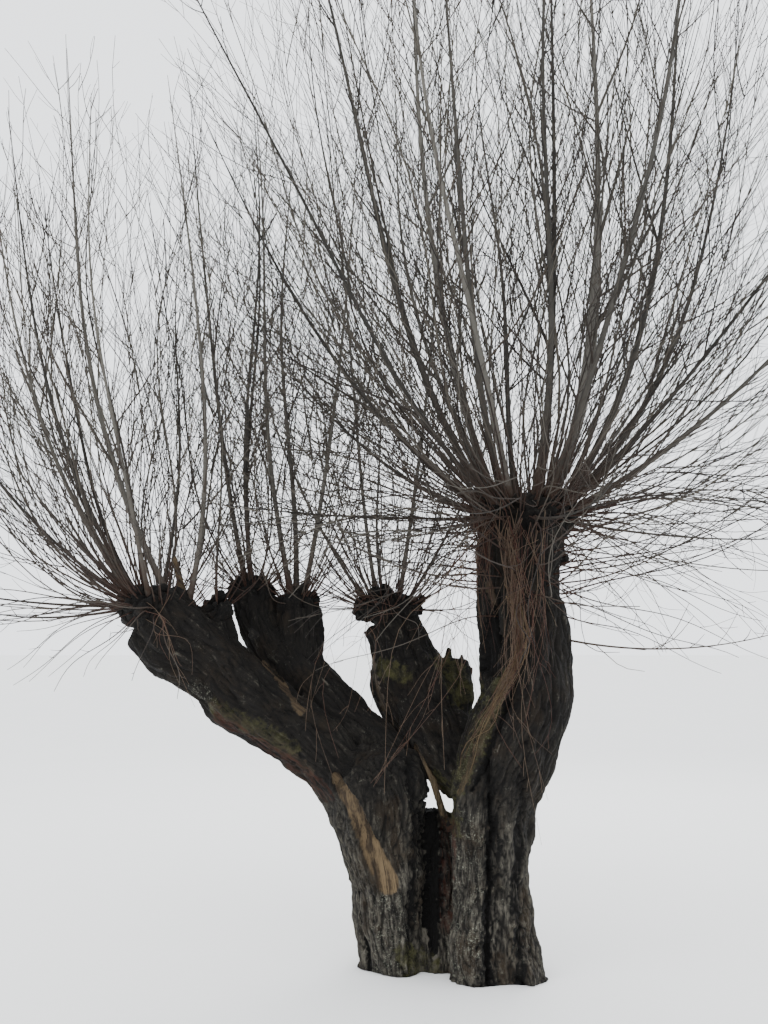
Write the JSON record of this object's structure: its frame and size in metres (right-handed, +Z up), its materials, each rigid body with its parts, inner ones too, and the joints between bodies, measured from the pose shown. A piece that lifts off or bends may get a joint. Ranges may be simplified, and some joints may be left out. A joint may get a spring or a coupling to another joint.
{
  "type": "pollard willow tree",
  "caption": "Old pollard willow in winter: a split, leaning trunk, boughs that end in knobbly cut heads, and tall bare rods with fine twigs standing out of every head.",
  "frame": {"origin": "in the flat cut at ground level, between the two halves of the trunk", "axes": "+Z up, +Y away from the picture's viewer, +X to the viewer's right"},
  "size_m": [5.3979, 3.4784, 6.4931],
  "materials": {
    "bark": "deeply furrowed dark grey-brown bark with lichen, moss and a strip of bare wood",
    "corky_head": "rough, corky, almost black callus wood",
    "rods": "smooth grey-brown young bark",
    "brush": "thin red-brown hanging shoots"
  },
  "bodies": {
    "root": {"trunk": "bark", "right_stem": "bark", "upper_head": "corky_head", "left_arm": "bark", "left_head": "corky_head", "knob_head": "corky_head", "middle_arm": "bark", "fork_left_head": "corky_head", "fork_right_head": "corky_head", "back_arm": "bark", "back_head": "corky_head", "back_leader_rod_1": "rods", "back_leader_rod_2": "rods", "back_outer_rod_1": "rods", "back_outer_rod_2": "rods", "back_outer_rod_3": "rods", "brush_left": "brush", "brush_right": "brush", "fork_left_leader_rod_1": "rods", "fork_left_leader_rod_2": "rods", "fork_left_leader_rod_3": "rods", "fork_right_leader_rod_1": "rods", "fork_right_leader_rod_2": "rods", "fork_right_leader_rod_3": "rods", "knob_leader_rod": "rods", "left_inner_rod": "rods", "left_leader_rod": "rods", "left_outer_rod": "rods", "left_round_rod_1": "rods", "left_round_rod_2": "rods", "left_round_rod_3": "rods", "left_round_rod_4": "rods", "left_skirt_rod_1": "rods", "left_skirt_rod_2": "rods", "left_wide_rod": "rods", "side_whip": "rods", "upper_far_left_rod": "rods", "upper_far_right_rod": "rods", "upper_front_rod_1": "rods", "upper_front_rod_2": "rods", "upper_front_rod_3": "rods", "upper_low_rod_1": "rods", "upper_low_rod_2": "rods", "upper_low_rod_3": "rods", "upper_low_rod_4": "rods", "upper_mast_rod": "rods", "upper_mid_left_rod": "rods", "upper_mid_right_rod": "rods", "upper_near_left_rod": "rods", "upper_rear_rod_1": "rods", "upper_rear_rod_2": "rods", "upper_rear_rod_3": "rods", "upper_skirt_rod_1": "rods", "upper_skirt_rod_2": "rods", "upper_skirt_rod_3": "rods", "upper_skirt_rod_4": "rods", "upper_straight_rod": "rods", "upper_wide_left_rod": "rods", "upper_wide_right_rod": "rods"}
  },
  "joints": []
}
